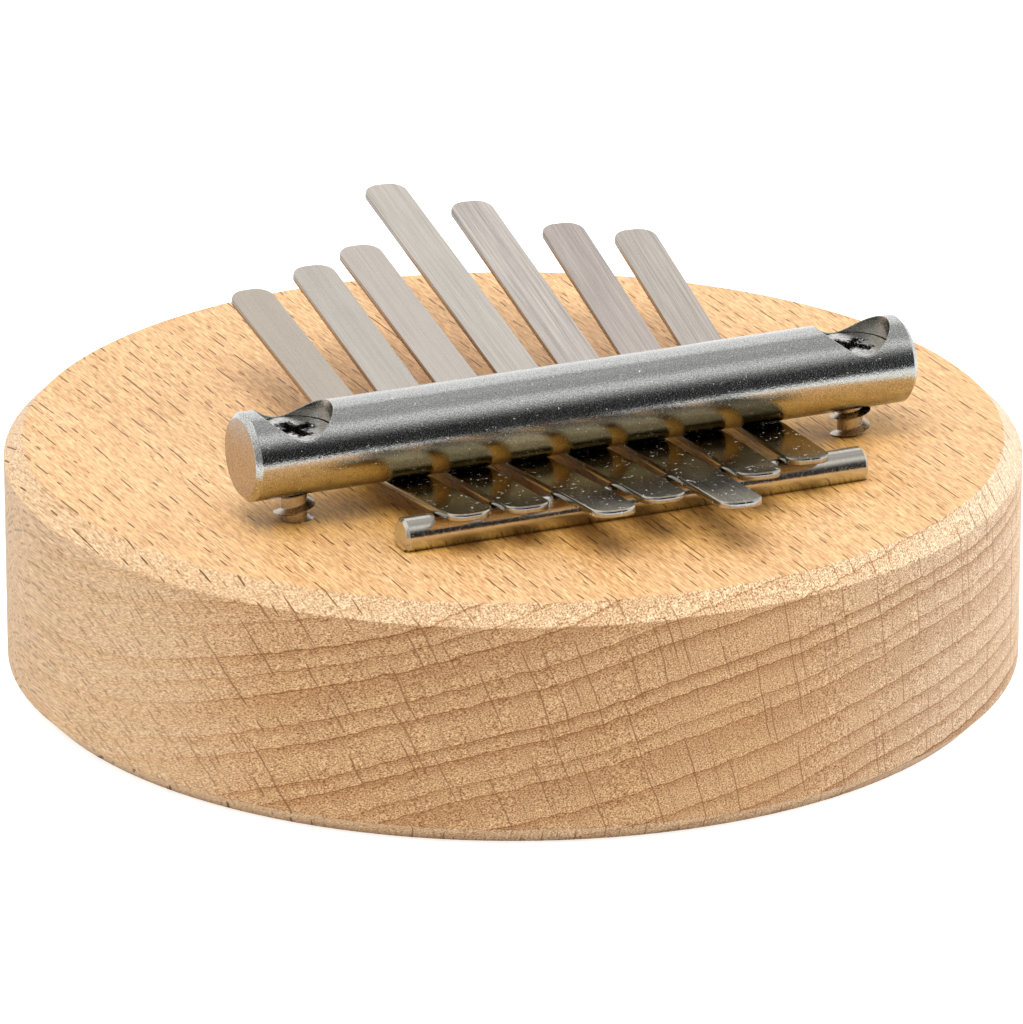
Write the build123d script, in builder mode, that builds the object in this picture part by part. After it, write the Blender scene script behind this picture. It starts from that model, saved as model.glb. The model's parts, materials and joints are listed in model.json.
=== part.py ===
from build123d import *
import os
from math import asin, atan2, cos, hypot, isclose, radians, sin

# A small mbira: seven spring-steel tines held on a round beech block by one screwed-down steel bar.
# Millimetres, +Z up. The origin is the centre of the block's underside. X runs along the bar and
# the two bridge rods, and +Y is the way the tines' free ends point.

# Block
block_diameter = 115.0
block_height = 27.5
block_chamfer = 2.1

# Pressure bar. The heights of the bar, rods and screws are above the block's top face.
bar_diameter = 10.0
bar_length = 80.6
bar_chamfer = 0.6
bar_y = -16.7
bar_height = 8.05

# Bridge rods, each lying in a shallow groove in the block
bridge_diameter = 4.0
bridge_length = 56.0
bridge_chamfer = 0.35
bridge_centre_x = 0.8
bridge_height = 1.55
bridge_ys = {"front_bridge": -30.3, "rear_bridge": -3.0}

# Screws: where each stands along the bar, how far its cross recess is turned, in degrees, and the
# height at which its thread's crest crosses the front of its shank
screw_xs = {"screw_left": -34.0, "screw_right": 34.1}
recess_turns = {"screw_left": 12.0, "screw_right": 38.0}
crest_heights = {"screw_left": 1.5, "screw_right": 0.55}
screw_length = 25.0
point_length = 4.0
root_diameter = 2.9
crest_diameter = 4.7
thread_pitch = 2.0
thread_foot = 1.0
thread_bite = 0.2
thread_turns = 8
buried_turns = 5
head_diameter = 8.4
head_height = 2.4
head_edge_radius = 0.5
recess_depth = 1.7
recess_mouth = (5.0, 1.1)
recess_floor = (2.4, 0.7)
counterbore_diameter = 8.7
clearance_diameter = 5.0
pilot_spare = 0.5

# Tines. The layout goes from left to right: where the tine crosses the bar's axis, how far its plan
# turns clockwise from +Y in degrees, and the Y of its front and rear tips.
tine_width = 5.1
tine_thickness = 0.85
tine_tip_radius = 2.0
tine_rise = 11.4
tine_bend_radius = 12.0
tine_layout = [
    (-20.8, 0.3, -36.0, 28.3),
    (-13.5, 2.4, -36.7, 31.5),
    (-6.2, 2.0, -43.6, 34.4),
    (1.1, 2.9, -41.3, 46.9),
    (8.2, 4.3, -48.0, 40.5),
    (15.3, 6.3, -38.0, 32.8),
    (22.6, 7.2, -34.9, 29.2),
]

# Air between a tine and what it bears on, enough for a tine that crosses at a slant, and between
# the clamped shank of a tine and its free reed
front_contact_gap = 0.05
rear_contact_gap = 0.10
flex_gap = 0.10

bar_radius = bar_diameter / 2
bridge_radius = bridge_diameter / 2
half_thickness = tine_thickness / 2

# Side view of every tine in its own upright plane: u runs rearward from the bar's axis and v runs
# up from the block's top face. The front run is held down by the bar and up by the front bridge.
# The rear run rises from the rear bridge. These points and directions lie on the centre line.
bar_offset = bar_radius + front_contact_gap + half_thickness
front_bridge_offset = bridge_radius + front_contact_gap + half_thickness
rear_bridge_offset = bridge_radius + rear_contact_gap + half_thickness
front_span = bar_y - bridge_ys["front_bridge"]
rear_span = bridge_ys["rear_bridge"] - bar_y
drop = bar_height - bridge_height
front_angle = asin((bar_offset + front_bridge_offset) / hypot(front_span, drop)) - atan2(drop, front_span)
rear_angle = radians(tine_rise)

front_way = Vector(-cos(front_angle), sin(front_angle))
rear_way = Vector(cos(rear_angle), sin(rear_angle))
clamp_point = Vector(0, bar_height) - bar_offset * Vector(sin(front_angle), cos(front_angle))
flex_point = Vector(rear_span, bridge_height) + rear_bridge_offset * Vector(-sin(rear_angle), cos(rear_angle))
run_back = front_way.cross(flex_point - clamp_point).Z / front_way.cross(rear_way).Z
bend_point = flex_point - run_back * rear_way


def tine_plane(x_at_bar, turn):
    """The upright plane of one tine's side view, with u as its x and v as its y."""
    return Plane(
        origin=(x_at_bar, bar_y, block_height),
        x_dir=(sin(turn), cos(turn), 0),
        z_dir=(cos(turn), -sin(turn), 0),
    )


def run_to(point, way, end_y, turn):
    """Follow a straight run from a point on it to where its tine's plan reaches end_y."""
    end_u = (end_y - bar_y) / cos(turn)
    return point + (end_u - point.X) / way.X * way


def tip_corners(strip, outward):
    """The two short upright edges at the end of a strip that lies furthest outward."""
    short_edges = strip.edges().filter_by(lambda edge: isclose(edge.length, tine_thickness, abs_tol=1e-6))
    return short_edges.sort_by(Axis((0, 0, 0), outward))[-2:]


os.makedirs("parts", exist_ok=True)

# Block, with a groove for each rod and a pilot hole for each screw
with BuildPart() as block:
    Cylinder(block_diameter / 2, block_height, align=(Align.CENTER, Align.CENTER, Align.MIN))
    chamfer(block.edges().filter_by(GeomType.CIRCLE), block_chamfer)
    with Locations([(bridge_centre_x, y, block_height + bridge_height) for y in bridge_ys.values()]):
        Cylinder(bridge_radius, bridge_length, rotation=(0, 90, 0), mode=Mode.SUBTRACT)
    with Locations([(x, bar_y, block_height) for x in screw_xs.values()]):
        Hole(root_diameter / 2, depth=screw_length + pilot_spare - bar_height)
block.part.label = "block"
export_step(block.part, "parts/block.step")

# Pressure bar, drilled from above: the head's counterbore goes down to the bar's axis
with BuildPart() as pressure_bar:
    with Locations((0, bar_y, block_height + bar_height)):
        Cylinder(bar_radius, bar_length, rotation=(0, 90, 0))
    chamfer(pressure_bar.edges().filter_by(GeomType.CIRCLE), bar_chamfer)
    bar_top = block_height + bar_height + bar_radius
    with Locations([(x, bar_y, bar_top) for x in screw_xs.values()]):
        CounterBoreHole(clearance_diameter / 2, counterbore_diameter / 2, bar_radius, depth=bar_diameter)
pressure_bar.part.label = "pressure_bar"
export_step(pressure_bar.part, "parts/pressure_bar.step")

# Bridge rods
for name, bridge_y in bridge_ys.items():
    with BuildPart() as bridge:
        with Locations((bridge_centre_x, bridge_y, block_height + bridge_height)):
            Cylinder(bridge_radius, bridge_length, rotation=(0, 90, 0))
        chamfer(bridge.edges().filter_by(GeomType.CIRCLE), bridge_chamfer)
    bridge.part.label = name
    export_step(bridge.part, f"parts/{name}.step")

# Screws: a turned blank, a right-hand thread round it and a cross recess in its head
for name, screw_x in screw_xs.items():
    head_seat = Vector(screw_x, bar_y, block_height + bar_height)
    head_top = head_seat + Vector(0, 0, head_height)
    thread_bottom = block_height + crest_heights[name] - (buried_turns + 0.75) * thread_pitch
    with BuildPart() as screw:
        with BuildSketch(Plane(head_seat, x_dir=(1, 0, 0), z_dir=(0, -1, 0))) as half_profile:
            with BuildLine():
                Polyline(
                    (0, head_height),
                    (head_diameter / 2, head_height),
                    (head_diameter / 2, 0),
                    (root_diameter / 2, 0),
                    (root_diameter / 2, point_length - screw_length),
                    (0, -screw_length),
                    close=True,
                )
            make_face()
            fillet(half_profile.vertices().sort_by(Axis((0, 0, 0), (1, 0, 1)))[-1], head_edge_radius)
        revolve(axis=Axis(head_seat, (0, 0, 1)))
        with BuildLine() as thread_path:
            Helix(
                thread_pitch,
                thread_turns * thread_pitch,
                root_diameter / 2,
                center=(screw_x, bar_y, thread_bottom),
            )
        with BuildSketch(Plane(thread_path.line @ 0, x_dir=(1, 0, 0), z_dir=thread_path.line % 0)):
            with BuildLine():
                Polyline(
                    (-thread_bite, -thread_foot / 2),
                    ((crest_diameter - root_diameter) / 2, 0),
                    (-thread_bite, thread_foot / 2),
                    close=True,
                )
            make_face()
        sweep(path=thread_path.line, is_frenet=True)
        for depth, cross_size in ((0, recess_mouth), (recess_depth, recess_floor)):
            with BuildSketch(Plane(head_top - Vector(0, 0, depth))):
                with Locations(Rotation(0, 0, recess_turns[name])):
                    Rectangle(*cross_size)
                    Rectangle(*cross_size[::-1])
        loft(ruled=True, mode=Mode.SUBTRACT)
    screw.part.label = name
    export_step(screw.part, f"parts/{name}.step")

# Tines, each in two pieces: the shank, which the bar clamps, and the reed, which is plucked
for number, (x_at_bar, turn_degrees, front_y, rear_y) in enumerate(tine_layout, start=1):
    turn = radians(turn_degrees)
    side_view = tine_plane(x_at_bar, turn)
    front_tip = run_to(clamp_point, front_way, front_y, turn)
    rear_tip = run_to(flex_point, rear_way, rear_y, turn)

    with BuildPart() as shank:
        with BuildSketch(side_view):
            with BuildLine():
                FilletPolyline(
                    front_tip,
                    bend_point,
                    flex_point - flex_gap / 2 * rear_way,
                    radius=tine_bend_radius,
                )
            trace(line_width=tine_thickness)
        extrude(amount=tine_width / 2, both=True)
        fillet(tip_corners(shank, -side_view.x_dir), tine_tip_radius)
    shank.part.label = f"tine_{number}_shank"
    export_step(shank.part, f"parts/tine_{number}_shank.step")

    with BuildPart() as reed:
        with BuildSketch(side_view):
            with BuildLine():
                Line(flex_point + flex_gap / 2 * rear_way, rear_tip)
            trace(line_width=tine_thickness)
        extrude(amount=tine_width / 2, both=True)
        fillet(tip_corners(reed, side_view.x_dir), tine_tip_radius)
    reed.part.label = f"tine_{number}_reed"
    export_step(reed.part, f"parts/tine_{number}_reed.step")
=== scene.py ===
import json
from math import cos, pi, radians, sin, tan

import bpy
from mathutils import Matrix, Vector


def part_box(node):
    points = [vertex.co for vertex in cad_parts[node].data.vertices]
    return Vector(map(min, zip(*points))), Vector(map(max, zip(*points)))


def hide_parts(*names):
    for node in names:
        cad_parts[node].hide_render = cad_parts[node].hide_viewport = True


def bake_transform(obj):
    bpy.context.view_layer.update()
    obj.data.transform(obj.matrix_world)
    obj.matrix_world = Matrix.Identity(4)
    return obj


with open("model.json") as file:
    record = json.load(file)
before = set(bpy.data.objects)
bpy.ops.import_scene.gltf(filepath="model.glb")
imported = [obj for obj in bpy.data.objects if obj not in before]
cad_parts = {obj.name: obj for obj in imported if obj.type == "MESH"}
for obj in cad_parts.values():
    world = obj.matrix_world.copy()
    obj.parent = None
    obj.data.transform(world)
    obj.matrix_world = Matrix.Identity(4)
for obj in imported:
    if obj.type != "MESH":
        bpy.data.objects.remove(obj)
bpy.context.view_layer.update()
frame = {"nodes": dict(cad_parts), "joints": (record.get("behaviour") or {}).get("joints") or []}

# A small mbira: seven spring-steel tines on a round beech block, held by one screwed-down steel bar.
# Meshes are in metres. Feature sizes inside the materials are in mm, like the positions they divide.

MM = 0.001
UP = Vector((0, 0, 1))

# Steel strip of the tines
TINE_THICKNESS = 0.85 * MM
TINE_RISE = radians(11.4)
TINE_BEND_RADIUS = 12.0 * MM
TIP_CORNER_RADIUS = 2.0 * MM
TINE_EDGE_RADIUS = 0.18 * MM
BAR_TO_TINE = 0.05 * MM

# Extra mesh steps over this length behind the rear bridge, where a plucked reed takes up its bend
HINGE_SPREAD = 12.0 * MM

# Steps in a tine's mesh: round a tip's corner, round the bend, over the hinge, round the long edges
CORNER_STEPS = 9
BEND_STEPS = 10
HINGE_STEPS = 12
EDGE_STEPS = 4

# A tine's rounded edges are shaded as if slightly crowned, leaning down on their lower half
UPPER_CROWN = 0.92
LOWER_CROWN = 0.66

# How strongly each tine is brushed, its tint, and how bright the painted shade on its front end is beside
# that
TINE_LOOKS = [
    (0.20, (0.584, 0.512, 0.432), 1.30),
    (0.30, (0.625, 0.571, 0.505), 1.00),
    (0.25, (0.646, 0.580, 0.524), 1.32),
    (0.45, (0.653, 0.598, 0.534), 1.00),
    (0.80, (0.622, 0.563, 0.512), 1.00),
    (0.65, (0.565, 0.497, 0.452), 1.00),
    (0.65, (0.588, 0.530, 0.471), 0.60),
]

# Y, in mm, between which a tine goes from its dusty front end, which carries painted shade and reflection,
# to its reed that thumbs keep clean
BEHIND_BAR = (-20.0, -10.0)

# The tree's pith, in mm, in the XZ plane that the fibres cross, and about how far off it lies
PITH_X = 50.0
PITH_Z = -200.0
PITH_DISTANCE = 215.0

# Growth rings, in mm, and the share of a ring at which its late wood ends in a thin line
RING_WIDTH = 2.7
RING_DRIFT = 9.0
RING_SCALLOP = 0.8
RING_TAPER = 0.014
LINE_SHARE = 0.96

# Rays: spacing, reach along the fibres, reach out from the pith and half thickness, in mm
BROAD_RAYS = (1.55, 3.1, 9.0, 0.080)
FINE_RAYS = (0.55, 1.3, 3.5, 0.055)
RAY_RARITY = 0.50
FINE_RAY_OFFSET = (17.3, 5.1, 40.0)
RAY_BLUR = 0.022

# Wood colours in linear light
LONG_GRAIN_PALE = (0.675, 0.415, 0.215)
LONG_GRAIN_WARM = (0.630, 0.366, 0.158)
END_GRAIN_PALE = (0.600, 0.370, 0.190)
END_GRAIN_WARM = (0.530, 0.300, 0.135)
SANDED_PALE = (0.68, 0.54, 0.38)
# A painted sheen: grey laid on the side towards +X for the light it catches there
PAINTED_SHEEN_GREY = (0.54, 0.44, 0.34)
RAY_BROWN = (0.150, 0.066, 0.016)
END_RAY_BROWN = (0.240, 0.098, 0.030)

# Wood colours that multiply what they lie on
LONG_LATE_TINT = (0.93, 0.76, 0.52)
END_LATE_TINT = (0.64, 0.49, 0.34)
LINE_TINT = (0.54, 0.37, 0.20)
# Painted shade for wood close beside the steel
PAINTED_SHADE_TINT = (0.94, 0.85, 0.46)

# Steel colours in linear light
BAR_BRIGHT = (0.66, 0.665, 0.64)
BAR_DULL = (0.57, 0.575, 0.555)
# Painted reflection and shade of the wood on the bar's lower side
BAR_UNDERSIDE_PAINTED_REFLECTION = (0.46, 0.43, 0.29)
SAWN_DARK = (0.30, 0.27, 0.23)
SAWN_BRIGHT = (0.58, 0.53, 0.46)
ROD_BRIGHT = (0.78, 0.74, 0.66)
ROD_DULL = (0.62, 0.58, 0.50)
# Painted reflection of the wood on the rods' lower side
ROD_UNDERSIDE_PAINTED_REFLECTION = (0.58, 0.57, 0.46)
ROD_PIT = (0.06, 0.05, 0.04)
SCREW_BRIGHT = (0.78, 0.77, 0.75)
SCREW_WORN = (0.44, 0.43, 0.41)
# Painted shade and reflection on the screw shank below the head
SCREW_SHANK_PAINTED_SHADE = (0.48, 0.43, 0.36)
# Dirt and painted shade in the screws' cross recess
SCREW_GRIME_AND_SHADE = (0.012, 0.010, 0.008)
# Painted shade and reflection on a tine's front end
TINE_FRONT_PAINTED_SHADE = (0.75, 0.72, 0.61)
# Painted reflection on a tine's rims: brown on the reed, grey on the front end
TINE_RIM_PAINTED_REFLECTION = (0.30, 0.24, 0.18)
TINE_FRONT_RIM_PAINTED_REFLECTION = (0.46, 0.48, 0.48)
BAR_DUST = (0.80, 0.79, 0.76)
TINE_DUST = (0.82, 0.80, 0.76)

# The cross recess in a screw's head, in mm: half an arm's width, half its span and the head's height
RECESS_HALF_WIDTH = 0.55
RECESS_HALF_SPAN = 2.25
HEAD_HEIGHT = (2.2, 2.5)

FLOOR_RADIUS = 0.26
FLOOR_SIDES = 96
FLOOR_WHITE = (0.60, 0.60, 0.60)

# The studio as a lengthwise cylinder round the object: degrees up from the back horizon over the top
# to the front, and how bright it is there
WORLD_BANDS = [
    (-90, 0.9), (-12, 1.2), (8, 1.15), (22, 1.0), (60, 0.9), (64, 0.38), (76, 0.55), (92, 0.46),
    (108, 0.44), (118, 0.82), (128, 0.76), (138, 0.43), (148, 0.13), (158, 0.02), (188, 0.02), (270, 0.5),
]
WORLD_RIGHT = (0.95, 0.98, 1.02)
WORLD_BACKDROP = (1.1, 1.1, 1.1)

# Lights: place, target, width and height in metres, power in watts and colour
LIGHTS = {
    "key": ((-0.30, -0.40, 1.28), (0, 0, 0.02), 1.05, 1.05, 18.9, (1, 1, 1)),
    "right": ((1.15, 0.0, 0.10), (0, 0, 0.02), 1.7, 1.5, 26, (0.90, 0.95, 1.0)),
}

CAMERA_AZIMUTH = radians(-24.46)
CAMERA_ELEVATION = radians(20.51)
CAMERA_DISTANCE = 0.9972
CAMERA_TARGET = Vector((0, 0, 0.011966))
CAMERA_LENS = 308.77
CAMERA_SHIFT = (-0.0015, 0.0447)


# ---------------------------------------------------------------- node graphs


class Graph:
    """Adds nodes to a material or world: each call makes one node and returns its output socket."""

    def __init__(self, owner):
        owner.use_nodes = True
        self.tree = owner.node_tree
        self.tree.nodes.clear()

    def node(self, kind, inputs=None, output=0, **settings):
        made = self.tree.nodes.new("ShaderNode" + kind)
        for name, value in settings.items():
            setattr(made, name, value)
        for name, value in (inputs or {}).items():
            self.feed(made.inputs[name], value)
        return made.outputs[output] if len(made.outputs) else made

    def feed(self, socket, value):
        """Links a socket to another node's output, or sets it. A colour may leave out its alpha."""
        if isinstance(value, bpy.types.NodeSocket):
            self.tree.links.new(value, socket)
        elif socket.type == "RGBA":
            socket.default_value = (*value, 1.0)
        else:
            socket.default_value = value

    def math(self, operation, first, second=0.0, third=0.0):
        return self.node("Math", {0: first, 1: second, 2: third}, operation=operation)

    def plus(self, first, second):
        return self.math("ADD", first, second)

    def minus(self, first, second):
        return self.math("SUBTRACT", first, second)

    def times(self, first, *others):
        for other in others:
            first = self.math("MULTIPLY", first, other)
        return first

    def size(self, value):
        return self.math("ABSOLUTE", value)

    def larger(self, first, second):
        return self.math("MAXIMUM", first, second)

    def smaller(self, first, second):
        return self.math("MINIMUM", first, second)

    def vector(self, operation, first, second=(0.0, 0.0, 0.0), output=0):
        return self.node("VectorMath", {0: first, 1: second}, output=output, operation=operation)

    def length(self, x, y, z):
        return self.vector("LENGTH", self.combine(x, y, z), output=1)

    def combine(self, x, y, z):
        return self.node("CombineXYZ", {"X": x, "Y": y, "Z": z})

    def separate(self, vector):
        split = self.node("SeparateXYZ", {"Vector": vector}).node
        return split.outputs["X"], split.outputs["Y"], split.outputs["Z"]

    def spread(self, value, low, high, out_low=0.0, out_high=1.0, smooth=True):
        """Maps low..high onto out_low..out_high and holds the ends."""
        return self.node(
            "MapRange",
            {"Value": value, "From Min": low, "From Max": high, "To Min": out_low, "To Max": out_high},
            interpolation_type="SMOOTHSTEP" if smooth else "LINEAR",
        )

    def between(self, share, first, second, smooth=True):
        """Goes from one value to another as a share goes from 0 to 1."""
        return self.spread(share, 0.0, 1.0, first, second, smooth)

    def around_half(self, value, strength):
        """Centres a 0 to 1 pattern on zero and scales it."""
        return self.times(self.minus(value, 0.5), strength)

    def noise(self, vector, detail=2.0, roughness=0.5, distortion=0.0):
        inputs = {
            "Vector": vector,
            "Scale": 1.0,
            "Detail": detail,
            "Roughness": roughness,
            "Distortion": distortion,
        }
        return self.node("TexNoise", inputs)

    def chance(self, number):
        """A random value from 0 to 1 for each whole number."""
        return self.node("TexWhiteNoise", {"W": number}, output="Value", noise_dimensions="1D")

    def voronoi(self, vector, output="Distance"):
        return self.node("TexVoronoi", {"Vector": vector, "Scale": 1.0}, output=output)

    def stretch(self, vector, x, y, z):
        """Divides a position in mm by a feature size along each axis."""
        return self.vector("DIVIDE", vector, (x, y, z))

    def mix(self, factor, first, second, blend="MIX"):
        inputs = {"Factor": factor, 6: first, 7: second}
        return self.node("Mix", inputs, output=2, data_type="RGBA", blend_type=blend)

    def shade(self, colour, tone):
        """Multiplies a colour by a grey tone."""
        return self.mix(1.0, colour, self.combine(tone, tone, tone), blend="MULTIPLY")

    def ramp(self, factor, stops):
        """A colour ramp from (position, colour) stops in rising order."""
        made = self.node("ValToRGB", {"Fac": factor}).node
        elements = made.color_ramp.elements
        made.color_ramp.interpolation = "LINEAR"
        while len(elements) < len(stops):
            elements.new(1.0)
        for element, (position, colour) in zip(elements, stops):
            element.position = position
            element.color = (*colour, 1.0)
        return made.outputs["Color"]

    def place(self):
        """The position on the object, in mm."""
        return self.vector("MULTIPLY", self.node("TexCoord", output="Object"), (1000.0, 1000.0, 1000.0))

    def facing(self):
        """How far the surface faces along X, Y and Z."""
        return self.separate(self.node("TexCoord", output="Normal"))

    def rounded(self, radius):
        """A normal that rounds off the sharp edges of a piece in its shading."""
        return self.node("Bevel", {"Radius": radius}, samples=6)

    def bump(self, height, distance, strength=1.0, normal=None):
        inputs = {"Height": height, "Distance": distance, "Strength": strength}
        if normal is not None:
            inputs["Normal"] = normal
        return self.node("Bump", inputs)

    def shader(self, colour, roughness, normal=None, **constants):
        inputs = {"Base Color": colour, "Roughness": roughness}
        if normal is not None:
            inputs["Normal"] = normal
        inputs.update(constants)
        self.node("OutputMaterial", {"Surface": self.node("BsdfPrincipled", inputs)})


# ---------------------------------------------------------------- wood


def pith_position(graph, place):
    """How far round the pith and out from it a point lies, in mm, bent so that the rings wander."""
    x, y, z = graph.separate(place)
    from_x = graph.minus(x, PITH_X)
    from_z = graph.minus(z, PITH_Z)
    around = graph.times(graph.math("ARCTAN2", from_x, from_z), PITH_DISTANCE)
    drift = graph.noise(graph.stretch(place, 45.0, 160.0, 45.0), detail=1.0)
    outward = graph.length(from_x, 0.0, from_z)
    outward = graph.plus(outward, graph.times(drift, RING_DRIFT))
    outward = graph.plus(outward, graph.times(y, RING_TAPER))
    return around, outward


def growth_rings(graph, around, y, outward):
    """Rings of uneven width: paler early wood, then darker late wood that ends at a thin line."""
    scallop = graph.noise(graph.stretch(graph.combine(around, y, outward), 1.6, 12.0, 9.0), detail=3.0)
    wavy = graph.plus(outward, graph.times(scallop, RING_SCALLOP))
    uneven = graph.noise(graph.combine(graph.math("DIVIDE", wavy, 3.3), 0.0, 0.0), detail=0.0)
    count = graph.plus(graph.math("DIVIDE", wavy, RING_WIDTH), graph.times(uneven, 1.5))
    share = graph.math("FRACT", count)
    chance = graph.chance(graph.math("FLOOR", count))
    late = graph.times(
        graph.spread(share, 0.30, 0.95),
        graph.spread(share, LINE_SHARE, 1.0, 1.0, 0.0),
        graph.between(chance, 0.35, 1.0, smooth=False),
    )
    to_line = graph.size(graph.minus(share, LINE_SHARE))
    line = graph.times(
        graph.spread(to_line, 0.010, 0.045, 1.0, 0.0),
        graph.between(chance, 0.55, 1.0, smooth=False),
    )
    return late, line


def rays(graph, place, spacing, reach_along, reach_out, half_thick):
    """Wood rays: thin upright ribbons of cells that run out from the pith, as a 0 to 1 mask."""
    around, along, outward = graph.separate(place)
    count = graph.math("DIVIDE", around, spacing)
    number = graph.math("FLOOR", count)
    shift = graph.between(graph.chance(number), 0.15, 0.85, smooth=False)
    across = graph.times(graph.minus(graph.math("FRACT", count), shift), spacing)
    reach = graph.combine(
        graph.times(number, 7.31),
        graph.math("DIVIDE", along, reach_along),
        graph.math("DIVIDE", outward, reach_out),
    )
    presence = graph.noise(reach, detail=1.0)
    width = graph.spread(presence, RAY_RARITY, RAY_RARITY + 0.10, 0.0, half_thick, smooth=False)
    inside = graph.minus(width, graph.size(across))
    mask = graph.spread(inside, -RAY_BLUR, RAY_BLUR)
    return graph.times(mask, graph.spread(presence, RAY_RARITY, RAY_RARITY + 0.06))


def bare_wood(graph, place, late, line, faces):
    """The wood's colour before its pores and rays. Long grain is golden, end grain is browner."""
    facing, end_grain, quarter, sloped = faces
    cloud = graph.noise(graph.stretch(place, 16.0, 60.0, 16.0), detail=2.0)
    long_colour = graph.mix(cloud, LONG_GRAIN_PALE, LONG_GRAIN_WARM)
    end_colour = graph.mix(cloud, END_GRAIN_PALE, END_GRAIN_WARM)
    end_share = graph.times(graph.spread(graph.size(facing[1]), 0.2, 0.75), sloped)
    colour = graph.mix(end_share, long_colour, end_colour)

    # Chamfers and the quarter-sawn sides are paler, and the side towards +X is greyed as a painted sheen,
    # the veil of light it catches
    steep = graph.size(facing[2])
    chamfered = graph.times(graph.spread(steep, 0.45, 0.65), graph.spread(steep, 0.75, 0.9, 1.0, 0.0))
    pale_share = graph.larger(graph.times(quarter, 0.30), graph.times(chamfered, 0.35))
    colour = graph.mix(pale_share, colour, SANDED_PALE)
    colour = graph.mix(graph.spread(facing[0], 0.0, 0.6, 0.0, 0.38), colour, PAINTED_SHEEN_GREY)

    # Rings show strongly on end grain and faintly elsewhere
    late_share = graph.times(
        late,
        graph.between(end_grain, 0.35, 0.82),
        graph.spread(sloped, 0.25, 1.0, 0.4, 1.0),
    )
    late_tint = graph.mix(end_grain, LONG_LATE_TINT, END_LATE_TINT)
    colour = graph.mix(late_share, colour, late_tint, blend="MULTIPLY")
    line_share = graph.times(line, graph.between(end_grain, 0.16, 0.85))
    return graph.mix(line_share, colour, LINE_TINT, blend="MULTIPLY")


def speckle(graph, colour, tone):
    """Darkens and lightens a wood colour by a tone, most in its blue, so that dark specks are warm."""
    red, green, blue = (graph.math("MULTIPLY_ADD", tone, strength, 1.0) for strength in (0.75, 1.0, 1.25))
    return graph.mix(1.0, colour, graph.combine(red, green, blue), blend="MULTIPLY")


def beech_wood():
    """Flat-sawn beech with its fibres along Y: growth rings round a far pith, rays, and fine pores."""
    material = bpy.data.materials.new("beech")
    graph = Graph(material)
    place = graph.place()
    x, y, z = graph.separate(place)
    around, outward = pith_position(graph, place)
    late, line = growth_rings(graph, around, y, outward)

    lean = graph.noise(graph.stretch(place, 9.0, 30.0, 7.0), detail=2.0)
    ray_place = graph.combine(graph.plus(around, graph.times(lean, 1.1)), y, outward)
    broad = rays(graph, ray_place, *BROAD_RAYS)
    fine = rays(graph, graph.vector("ADD", ray_place, FINE_RAY_OFFSET), *FINE_RAYS)

    # Pores and fibres: tubes along Y, which show as dots on end grain and as streaks elsewhere
    pores = graph.noise(graph.stretch(ray_place, 0.17, 2.2, 0.13), detail=1.5, roughness=0.7)
    fibres = graph.noise(graph.stretch(place, 0.34, 9.0, 0.34), detail=3.0, roughness=0.6)

    facing = graph.facing()
    end_grain = graph.spread(graph.size(facing[1]), 0.3, 0.75)
    quarter = graph.spread(graph.size(facing[0]), 0.75, 0.97)
    sloped = graph.spread(graph.size(facing[2]), 0.3, 0.65, 1.0, 0.25)
    colour = bare_wood(graph, place, late, line, (facing, end_grain, quarter, sloped))
    pore_tone = graph.around_half(pores, graph.between(end_grain, 2.0, 4.0, smooth=False))
    fibre_tone = graph.around_half(fibres, 0.50)
    colour = speckle(graph, colour, graph.plus(pore_tone, fibre_tone))

    ray_colour = graph.mix(end_grain, RAY_BROWN, END_RAY_BROWN)
    fine_share = graph.times(fine, graph.between(end_grain, 0.45, 0.38))
    colour = graph.mix(fine_share, colour, ray_colour)
    broad_share = graph.times(broad, graph.between(end_grain, 0.95, 0.68), graph.between(quarter, 1.0, 0.3))
    colour = graph.mix(broad_share, colour, ray_colour)

    # Wood close beside the steel gets painted shade: browner and darker where the ambient occlusion is low
    openness = graph.node("AmbientOcclusion", {"Distance": 9.0 * MM}, output="AO", samples=6)
    painted_shade_share = graph.times(graph.spread(openness, 0.35, 0.95, 1.0, 0.0), graph.spread(z, 20.0, 25.0))
    colour = graph.mix(painted_shade_share, colour, PAINTED_SHADE_TINT, blend="MULTIPLY")

    # Rays and ring ends lie a little low, and sanding leaves the end grain rougher
    height = graph.minus(graph.times(pores, 0.5), graph.times(broad, 0.6))
    height = graph.minus(height, graph.times(line, 0.3))
    normal = graph.bump(height, 0.04 * MM, 0.6, graph.rounded(0.5 * MM))
    roughness = graph.plus(graph.spread(pores, 0.3, 0.7, 0.42, 0.56), graph.times(end_grain, 0.08))
    graph.shader(colour, roughness, normal, **{"Specular IOR Level": 0.3})
    return material


# ---------------------------------------------------------------- steel


def dust(graph, place, size, share, low, high):
    """Specks in some cells of a grid, as a 0 to 1 mask. Their radii go from low to high."""
    scaled = graph.stretch(place, size, size, size)
    distance = graph.voronoi(scaled)
    chance, spot = graph.separate(graph.voronoi(scaled, output="Color"))[:2]
    reach = graph.between(spot, low / size, high / size, smooth=False)
    mask = graph.spread(graph.minus(reach, distance), 0.0, 0.04 / size)
    return graph.times(mask, graph.math("LESS_THAN", chance, share))


def hairs(graph, place, size, thick, rarity):
    """Short curled fibres of lint: thin contours of a noise, kept in a few patches."""
    bend = graph.noise(graph.stretch(place, size, size, size), detail=1.0, distortion=0.4)
    contour = graph.size(graph.minus(bend, 0.5))
    mask = graph.spread(contour, thick * 0.5, thick, 1.0, 0.0)
    patch_size = size * 1.1
    patch = graph.noise(graph.stretch(place, patch_size, patch_size, patch_size), detail=0.0)
    return graph.times(mask, graph.spread(patch, rarity, rarity + 0.02))


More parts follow.
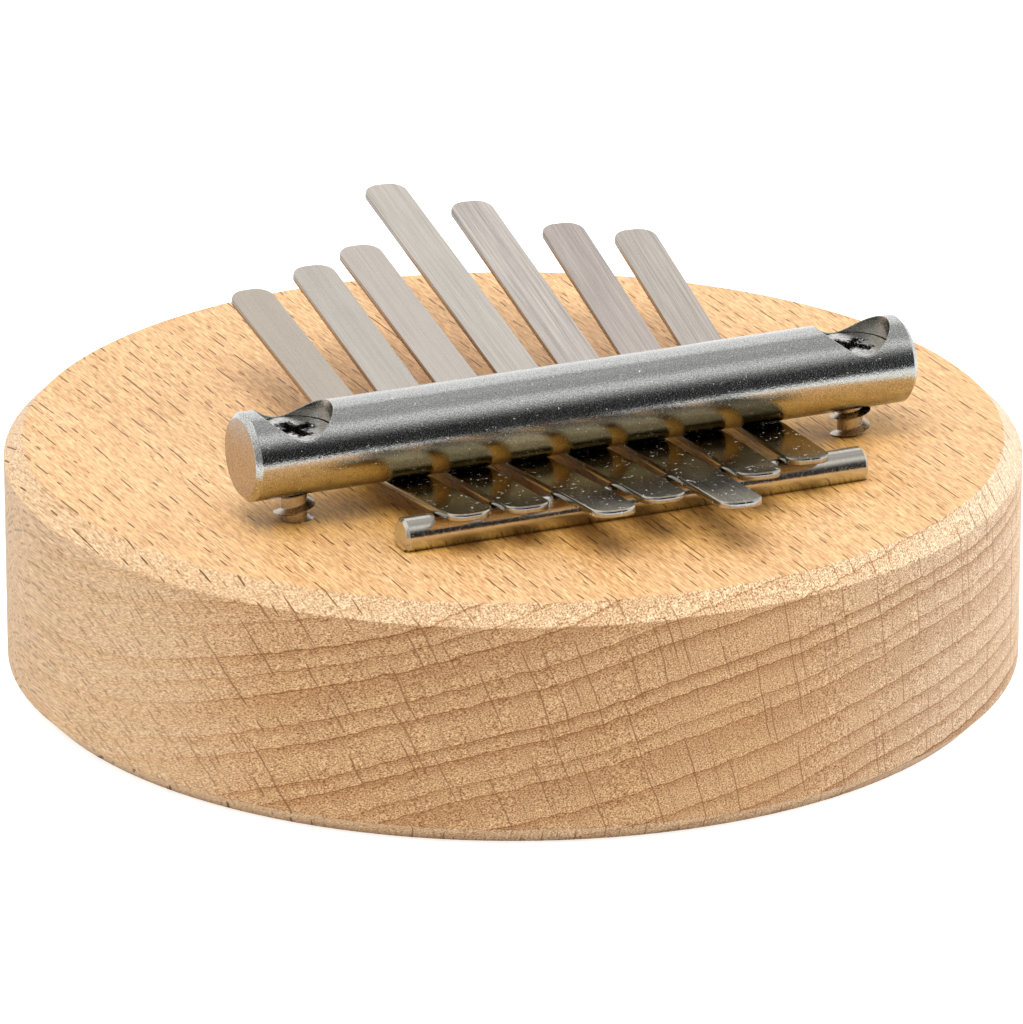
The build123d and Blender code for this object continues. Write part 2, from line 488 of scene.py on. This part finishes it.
def dusty_steel(graph, colour, dust_colour, dust_share, dirt, roughness, normal):
    """Finishes a steel shader under its dust, which is rough and not metallic."""
    colour = graph.mix(graph.times(dirt, dust_share), colour, dust_colour)
    roughness = graph.larger(roughness, graph.times(dirt, 0.8))
    normal = graph.bump(dirt, 0.03 * MM, 0.6, normal)
    metallic = graph.minus(1.0, graph.times(dirt, 0.85))
    graph.shader(colour, roughness, normal, **{"Metallic": metallic})


def bar_steel():
    """Drawn round bar, satin polished round its girth, with fine scuffs, dust, lint and sawn ends."""
    material = bpy.data.materials.new("bar_steel")
    graph = Graph(material)
    place = graph.place()
    facing = graph.facing()
    on_side = graph.spread(graph.size(facing[0]), 0.85, 0.95, 1.0, 0.0)
    # Painted reflection and shade: the downward-facing side is tinted darker and browner, for the shaded
    # wood it mirrors
    painted_underside = graph.spread(facing[2], -0.35, 0.15, 1.0, 0.0)

    grooves = graph.noise(graph.stretch(place, 0.07, 0.7, 0.7), detail=2.0, roughness=0.6)
    scuffs = graph.noise(graph.stretch(place, 0.15, 0.17, 0.17), detail=1.5, roughness=0.7, distortion=0.3)
    smear = graph.noise(graph.stretch(place, 9.0, 3.0, 3.0), detail=3.0)
    grain = graph.noise(graph.stretch(place, 0.13, 0.13, 0.13), detail=1.0)
    sawn = graph.noise(graph.stretch(place, 0.2, 0.13, 0.13), detail=2.0, roughness=0.7)

    # More dust settles on the upper side
    settled = graph.spread(facing[2], 0.0, 0.7, 0.06, 0.30)
    dots = dust(graph, place, 0.36, settled, 0.020, 0.062)
    lint = hairs(graph, place, 0.5, 0.022, 0.77)
    dirt = graph.times(graph.larger(dots, lint), on_side)

    colour = graph.mix(smear, BAR_BRIGHT, BAR_DULL)
    colour = graph.mix(painted_underside, colour, BAR_UNDERSIDE_PAINTED_REFLECTION)
    colour = graph.shade(colour, graph.spread(grain, 0.25, 0.75, 0.55, 1.42, smooth=False))
    sawn_colour = graph.mix(graph.spread(sawn, 0.35, 0.65), SAWN_DARK, SAWN_BRIGHT)
    colour = graph.mix(on_side, sawn_colour, colour)
    roughness = graph.spread(scuffs, 0.3, 0.75, 0.07, 0.20)
    normal = graph.bump(grooves, 0.006 * MM, 1.0, graph.rounded(0.16 * MM))
    normal = graph.bump(scuffs, 0.018 * MM, 1.0, normal)
    dusty_steel(graph, colour, BAR_DUST, 0.8, dirt, roughness, normal)
    return material


def rod_steel():
    """Cold-drawn rod of the bridges, bright, with fine lines round it and a few dark pits."""
    material = bpy.data.materials.new("rod_steel")
    graph = Graph(material)
    place = graph.place()
    grooves = graph.noise(graph.stretch(place, 0.09, 0.8, 0.8), detail=2.0, roughness=0.6)
    scuffs = graph.noise(graph.stretch(place, 0.3, 0.3, 0.3), detail=3.0, roughness=0.6)
    pits = dust(graph, place, 1.7, 0.35, 0.03, 0.10)
    # Painted reflection: the downward-facing side is tinted darker and yellower, for the wood it mirrors
    painted_underside = graph.spread(graph.facing()[2], -0.2, 0.2, 1.0, 0.0)
    colour = graph.mix(scuffs, ROD_BRIGHT, ROD_DULL)
    colour = graph.mix(painted_underside, colour, ROD_UNDERSIDE_PAINTED_REFLECTION)
    colour = graph.mix(pits, colour, ROD_PIT)
    roughness = graph.spread(scuffs, 0.3, 0.75, 0.13, 0.28)
    normal = graph.bump(grooves, 0.004 * MM, 1.0, graph.rounded(0.12 * MM))
    normal = graph.bump(scuffs, 0.006 * MM, 1.0, normal)
    graph.shader(colour, roughness, normal, **{"Metallic": 1.0})
    return material


def cross_recess(graph, x, y, recess_turn, ragged):
    """A turned cross at the middle of a screw's head, ragged at its edges, as a 0 to 1 mask."""
    arm_x = graph.plus(graph.times(x, cos(recess_turn)), graph.times(y, sin(recess_turn)))
    arm_y = graph.minus(graph.times(y, cos(recess_turn)), graph.times(x, sin(recess_turn)))
    off_arm = graph.smaller(graph.size(arm_x), graph.size(arm_y))
    on_cross = graph.minus(graph.plus(RECESS_HALF_WIDTH, ragged), off_arm)
    in_reach = graph.minus(graph.plus(RECESS_HALF_SPAN, ragged), graph.length(x, y, 0.0))
    return graph.spread(graph.smaller(on_cross, in_reach), -0.02, 0.03)


def screw_steel(name, recess_turn, burr, grime_and_shade_floor):
    """Bright zinc-plated screw whose cross recess is chewed by up to burr mm and dark with dirt and painted
    shade.
    """
    material = bpy.data.materials.new(f"screw_steel_{name}")
    graph = Graph(material)
    place = graph.place()
    wear = graph.noise(graph.stretch(place, 0.4, 0.4, 0.4), detail=4.0, roughness=0.65)
    chew = graph.noise(graph.stretch(place, 0.45, 0.45, 2.0), detail=3.0, roughness=0.7)
    crumbs = graph.noise(graph.stretch(place, 0.26, 0.26, 0.6), detail=1.0)

    low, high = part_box(name)
    centre = (low + high) / 2 / MM
    x, y, z = graph.separate(place)
    below_head = graph.spread(graph.minus(high.z / MM, z), *HEAD_HEIGHT)
    ragged = graph.spread(chew, 0.35, 0.65, 0.0, burr, smooth=False)
    cross = cross_recess(graph, graph.minus(x, centre.x), graph.minus(y, centre.y), recess_turn, ragged)
    # Dirt and painted shade fill the cross recess, nearly black, broken by lighter crumbs
    grime_and_shade = graph.times(
        cross,
        graph.minus(1.0, below_head),
        graph.spread(crumbs, 0.54, 0.60, 1.0, grime_and_shade_floor),
    )

    colour = graph.mix(graph.spread(wear, 0.35, 0.65), SCREW_BRIGHT, SCREW_WORN)
    # Painted shade and reflection: the shank below the head is darker and browner, for the shade under the
    # bar and the wood it mirrors
    colour = graph.mix(below_head, colour, SCREW_SHANK_PAINTED_SHADE)
    colour = graph.mix(graph.times(grime_and_shade, 0.97), colour, SCREW_GRIME_AND_SHADE)
    roughness = graph.larger(graph.spread(wear, 0.3, 0.7, 0.16, 0.34), graph.times(grime_and_shade, 0.6))
    height = graph.minus(wear, graph.times(grime_and_shade, 1.5))
    normal = graph.bump(height, 0.05 * MM, 0.8, graph.rounded(0.08 * MM))
    graph.shader(colour, roughness, normal, **{"Metallic": 1.0})
    return material


def tine_steel(number, brushing, tint, front_shade):
    """Spring steel strip, ground along its length. Each tine has its own grain and dust."""
    material = bpy.data.materials.new(f"tine_steel_{number}")
    graph = Graph(material)
    place = graph.place()
    strip = graph.vector("MULTIPLY", graph.node("UVMap", uv_map="strip"), (1000.0, 1000.0, 0.0))
    strip = graph.vector("ADD", strip, (0.0, 0.0, number * 13.7))
    lines = graph.noise(graph.stretch(strip, 0.13, 9.0, 1.0), detail=2.0, roughness=0.6)
    broad_lines = graph.noise(graph.stretch(strip, 0.34, 26.0, 1.0), detail=2.0)
    grain = graph.noise(graph.stretch(strip, 0.14, 0.3, 1.0), detail=2.0)
    smear = graph.noise(graph.stretch(strip, 3.0, 7.0, 1.0), detail=3.0)

    # Dust lies on the front end, and thumbs keep the reed clean
    behind_bar = graph.spread(graph.separate(place)[1], *BEHIND_BAR)
    dots = dust(graph, place, 0.6, 0.65, 0.015, 0.070)
    lint = hairs(graph, place, 0.6, 0.022, 0.71)
    dirt = graph.times(graph.larger(dots, lint), graph.between(behind_bar, 1.0, 0.06))

    # Painted shade and reflection: the front end is yellower, darker or lighter per tine, with grey rims,
    # and the reed's rims are brown like the wood they mirror
    front_painted_shade = tuple(level * front_shade for level in TINE_FRONT_PAINTED_SHADE)
    painted_front_colour = graph.mix(behind_bar, front_painted_shade, (1, 1, 1))
    colour = graph.mix(1.0, tint, painted_front_colour, blend="MULTIPLY")
    on_rim = graph.spread(graph.size(graph.facing()[2]), 0.35, 0.8, 1.0, 0.0)
    # Painted reflection on the rims
    colour = graph.mix(graph.times(on_rim, behind_bar, 0.85), colour, TINE_RIM_PAINTED_REFLECTION)
    colour = graph.mix(graph.times(on_rim, graph.minus(1.0, behind_bar)), colour, TINE_FRONT_RIM_PAINTED_REFLECTION)

    line_tone = graph.around_half(lines, brushing * 1.1)
    broad_tone = graph.around_half(broad_lines, brushing)
    smear_tone = graph.around_half(smear, 0.18)
    grain_tone = graph.around_half(grain, 0.22)
    tone = graph.plus(graph.plus(line_tone, broad_tone), graph.plus(smear_tone, grain_tone))
    colour = graph.shade(colour, graph.plus(1.0, tone))

    roughness = graph.between(behind_bar, 0.10, 0.24)
    roughness = graph.plus(roughness, graph.spread(smear, 0.25, 0.75, -0.02, 0.03))
    roughness = graph.plus(roughness, graph.times(lines, 0.05))
    normal = graph.bump(lines, 0.006 * MM, brushing)
    normal = graph.bump(grain, 0.003 * MM, 1.0, normal)
    dusty_steel(graph, colour, TINE_DUST, 0.85, dirt, roughness, normal)
    return material


# ---------------------------------------------------------------- tines


def joint_named(name):
    return next(joint for joint in frame["joints"] if joint["name"] == name)


def highest_along(node, direction):
    """How far a CAD node reaches along a direction, in metres from the origin."""
    return max(vertex.co.dot(direction) for vertex in frame["nodes"][node].data.vertices)


def upper_normal(way, across):
    """The normal of a tine's upper face where the tine runs along way."""
    normal = way.cross(across)
    return normal if normal.z > 0 else -normal


class TineLine:
    """The centre line of one tine: a straight front run under the bar, a bend, and a rising reed."""

    def __init__(self, number):
        pluck = joint_named(f"tine_{number}_pluck")
        self.front_way = Vector(joint_named(f"tine_{number}_tune")["axis"]).normalized()
        self.across = Vector(pluck["axis"]).normalized()
        self.flex_point = Vector(pluck["pos_m"])
        plan_way = UP.cross(self.across)
        self.rear_way = plan_way * cos(TINE_RISE) + UP * sin(TINE_RISE)
        self.front_up = upper_normal(self.front_way, self.across)
        self.rear_up = upper_normal(self.rear_way, self.across)

        # Where the bar presses on the front run
        low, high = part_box("pressure_bar")
        bar_axis = (low + high) / 2
        bar_radius = (high.y - low.y) / 2
        over_bar = self.flex_point + plan_way * (bar_axis.y - self.flex_point.y) / plan_way.y
        over_bar.z = bar_axis.z
        clamp_point = over_bar - self.front_up * (bar_radius + BAR_TO_TINE + TINE_THICKNESS / 2)

        # The two straight runs cross at the bend point
        gap = self.flex_point - clamp_point
        run_back = gap.cross(self.front_way).dot(self.across)
        run_back /= self.rear_way.cross(self.front_way).dot(self.across)
        bend_point = self.flex_point - self.rear_way * run_back
        turn = self.front_way.angle(-self.rear_way)
        trim = TINE_BEND_RADIUS * tan(turn / 2)
        self.arc_start = bend_point + self.front_way * trim
        self.arc_end = bend_point + self.rear_way * trim
        self.arc_centre = self.arc_start + self.front_up * TINE_BEND_RADIUS

        # Lengths along the strip from its front tip
        front_reach = highest_along(f"tine_{number}_shank", self.front_way)
        rear_reach = highest_along(f"tine_{number}_reed", self.rear_way)
        self.bend_start = front_reach - self.arc_start.dot(self.front_way)
        self.bend_end = self.bend_start + TINE_BEND_RADIUS * turn
        self.flex = self.bend_end + (self.flex_point - self.arc_end).dot(self.rear_way)
        self.total = self.bend_end + rear_reach - self.arc_end.dot(self.rear_way)

    def place(self, along):
        """The point and the upper face's normal at a length along the strip from its front tip."""
        if along <= self.bend_start:
            return self.arc_start + self.front_way * (self.bend_start - along), self.front_up
        if along >= self.bend_end:
            return self.arc_end + self.rear_way * (along - self.bend_end), self.rear_up
        angle = (along - self.bend_start) / TINE_BEND_RADIUS
        normal = self.front_up * cos(angle) + self.front_way * sin(angle)
        return self.arc_centre - normal * TINE_BEND_RADIUS, normal

    def rearward(self, along):
        """The direction of the strip, towards its rear tip, at a length along it."""
        forward = self.place(along)[1].cross(self.across)
        return -forward if forward.dot(self.rear_way) < 0 else forward


def tine_stations(line, half_width):
    """Stations along a strip: the length, the half width, and the angle the outline faces there."""
    radius = TIP_CORNER_RADIUS
    corner = []
    for step in range(CORNER_STEPS + 1):
        turn = pi / 2 * step / CORNER_STEPS
        corner.append((radius * (1 - cos(turn)), half_width - radius * (1 - sin(turn)), pi / 2 - turn))
    bend_length = line.bend_end - line.bend_start
    inner = [line.bend_start + bend_length * step / BEND_STEPS for step in range(BEND_STEPS + 1)]
    inner += [line.flex + HINGE_SPREAD * step / HINGE_STEPS for step in range(HINGE_STEPS + 1)]
    room = radius * 1.2

    stations = [(inset, side, -facing) for inset, side, facing in corner]
    stations += [(along, half_width, 0.0) for along in sorted(inner) if room < along < line.total - room]
    stations += [(line.total - inset, side, facing) for inset, side, facing in reversed(corner)]
    return stations


def edge_sections():
    """Round a strip's long edge, from its upper to its lower face: the inset, height and shading tilt."""
    quarter = []
    for step in range(EDGE_STEPS + 1):
        turn = pi / 2 * step / EDGE_STEPS
        quarter.append((TINE_EDGE_RADIUS * (1 - sin(turn)), TINE_EDGE_RADIUS * (1 - cos(turn)), turn))
    top = TINE_THICKNESS / 2
    sections = [(inset, top - down, turn * UPPER_CROWN) for inset, down, turn in quarter]
    sections += [(inset, down - top, pi - turn * LOWER_CROWN) for inset, down, turn in reversed(quarter)]
    return sections


def strip_faces(outline_count, section_count):
    """Quads round the edge between the sections, then across the upper and the lower face."""
    faces = []
    for section in range(section_count - 1):
        start = section * outline_count
        for i in range(outline_count):
            j = (i + 1) % outline_count
            faces.append((start + i, start + j, start + outline_count + j, start + outline_count + i))
    last = (section_count - 1) * outline_count
    for i in range(outline_count // 2 - 1):
        mirrored = outline_count - 1 - i
        faces.append((i, mirrored, mirrored - 1, i + 1))
        faces.append((last + i, last + i + 1, last + mirrored - 1, last + mirrored))
    return faces


def tine_mesh(number, line):
    """One strip with rounded tips and edges, its normals, and its flat layout as the UV map strip."""
    reed = f"tine_{number}_reed"
    half_width = (highest_along(reed, line.across) + highest_along(reed, -line.across)) / 2
    stations = tine_stations(line, half_width)
    outline = [(along, -side, -1.0, facing) for along, side, facing in stations]
    outline += [(along, side, 1.0, facing) for along, side, facing in reversed(stations)]
    sections = edge_sections()

    vertices, normals, flat = [], [], []
    for inset, height, tilt in sections:
        for along, side, sign, facing in outline:
            out_along, out_side = sin(facing), sign * cos(facing)
            point_along = along - out_along * inset
            point_side = side - out_side * inset
            point, up = line.place(point_along)
            outward = line.rearward(along) * out_along + line.across * out_side
            vertices.append(point + line.across * point_side + up * height)
            normals.append((outward * sin(tilt) + up * cos(tilt)).normalized())
            flat.append((point_side, point_along))

    mesh = bpy.data.meshes.new(f"tine_{number}")
    mesh.from_pydata(vertices, [], strip_faces(len(outline), len(sections)))
    layer = mesh.uv_layers.new(name="strip")
    for corner in mesh.loops:
        layer.data[corner.index].uv = flat[corner.vertex_index]
    for polygon in mesh.polygons:
        polygon.use_smooth = True
    mesh.normals_split_custom_set_from_vertices(normals)
    return mesh


def build_tine(number, material):
    """One tine in place of its CAD shank and reed, bending from one body to the other."""
    line = TineLine(number)
    mesh = tine_mesh(number, line)
    mesh.materials.append(material)
    tine = bpy.data.objects.new(f"tine_{number}", mesh)
    bpy.context.scene.collection.objects.link(tine)
    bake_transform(tine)
    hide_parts(f"tine_{number}_shank", f"tine_{number}_reed")


# ---------------------------------------------------------------- studio


def build_floor():
    """A round white table top, softly lit from within so that it stays pale."""
    material = bpy.data.materials.new("floor_white")
    graph = Graph(material)
    seen = graph.node("LightPath", output="Is Camera Ray")
    gathered = graph.node("LightPath", output="Is Diffuse Ray")
    glow = graph.math("MULTIPLY_ADD", seen, 0.55, 0.2)
    glow = graph.math("MULTIPLY_ADD", gathered, 0.05, glow)
    graph.shader(FLOOR_WHITE, 0.7, **{"Emission Color": (1, 1, 1), "Emission Strength": glow})

    turns = [2 * pi * side / FLOOR_SIDES for side in range(FLOOR_SIDES)]
    rim = [(FLOOR_RADIUS * cos(turn), FLOOR_RADIUS * sin(turn), 0) for turn in turns]
    mesh = bpy.data.meshes.new("floor")
    mesh.from_pydata(rim, [], [tuple(range(FLOOR_SIDES))])
    mesh.materials.append(material)
    floor = bpy.data.objects.new("floor", mesh)
    bpy.context.scene.collection.objects.link(floor)


def add_area_light(name, place, target, width, height, power, colour):
    """A soft light that is not itself mirrored in the steel."""
    data = bpy.data.lights.new(name, "AREA")
    data.shape = "RECTANGLE"
    data.size = width
    data.size_y = height
    data.energy = power
    data.color = colour
    light = bpy.data.objects.new(name, data)
    bpy.context.scene.collection.objects.link(light)
    light.location = place
    light.rotation_mode = "QUATERNION"
    light.rotation_quaternion = (Vector(target) - Vector(place)).to_track_quat("-Z", "Y")
    light.visible_glossy = False


def build_world():
    """White studio that the steel mirrors: bright behind, softer overhead and dark low in front."""
    world = bpy.data.worlds.new("studio")
    bpy.context.scene.world = world
    graph = Graph(world)
    x, y, z = graph.separate(graph.node("TexCoord", output="Generated"))

    # WRAP gives -90 to 270 degrees, and the ramp reads 0 to 1 from the lowest of these
    height = graph.math("WRAP", graph.math("ARCTAN2", z, y), radians(270), radians(-90))
    height = graph.plus(graph.math("DIVIDE", height, radians(360)), 0.25)
    stops = [((degrees + 90) / 360, (level, level, level)) for degrees, level in WORLD_BANDS]
    band = graph.ramp(height, stops)

    left_level = graph.spread(y, -0.6, 0.25, 0.22, 0.95)
    left = graph.combine(left_level, left_level, left_level)
    colour = graph.mix(graph.spread(x, -0.5, 0.0, 1.0, 0.0), band, left)
    colour = graph.mix(graph.spread(x, 0.48, 0.78), colour, WORLD_RIGHT)
    seen = graph.node("LightPath", output="Is Camera Ray")
    colour = graph.mix(seen, colour, WORLD_BACKDROP)
    background = graph.node("Background", {"Color": colour, "Strength": 1.0})
    graph.node("OutputWorld", {"Surface": background})


def build_camera():
    """A long lens from the front left, a little above the block."""
    data = bpy.data.cameras.new("camera")
    data.sensor_width = 36.0
    data.lens = CAMERA_LENS
    data.shift_x, data.shift_y = CAMERA_SHIFT
    data.clip_start = 0.05
    data.clip_end = 100.0
    camera = bpy.data.objects.new("camera", data)
    bpy.context.scene.collection.objects.link(camera)
    level = cos(CAMERA_ELEVATION)
    back = Vector((sin(CAMERA_AZIMUTH) * level, -cos(CAMERA_AZIMUTH) * level, sin(CAMERA_ELEVATION)))
    camera.location = CAMERA_TARGET + back * CAMERA_DISTANCE
    camera.rotation_mode = "QUATERNION"
    camera.rotation_quaternion = (-back).to_track_quat("-Z", "Y")
    bpy.context.scene.camera = camera


rod = rod_steel()
cad_looks = {
    "block": beech_wood(),
    "pressure_bar": bar_steel(),
    "front_bridge": rod,
    "rear_bridge": rod,
    "screw_left": screw_steel("screw_left", radians(12), 0.8, 0.8),
    "screw_right": screw_steel("screw_right", radians(38), 0.65, 0.15),
}
for name, material in cad_looks.items():
    frame["nodes"][name].material_slots[0].material = material
for number, look in enumerate(TINE_LOOKS, start=1):
    build_tine(number, tine_steel(number, *look))

build_floor()
build_world()
for name, settings in LIGHTS.items():
    add_area_light(name, *settings)
build_camera()
bpy.context.scene.view_settings.view_transform = "Standard"
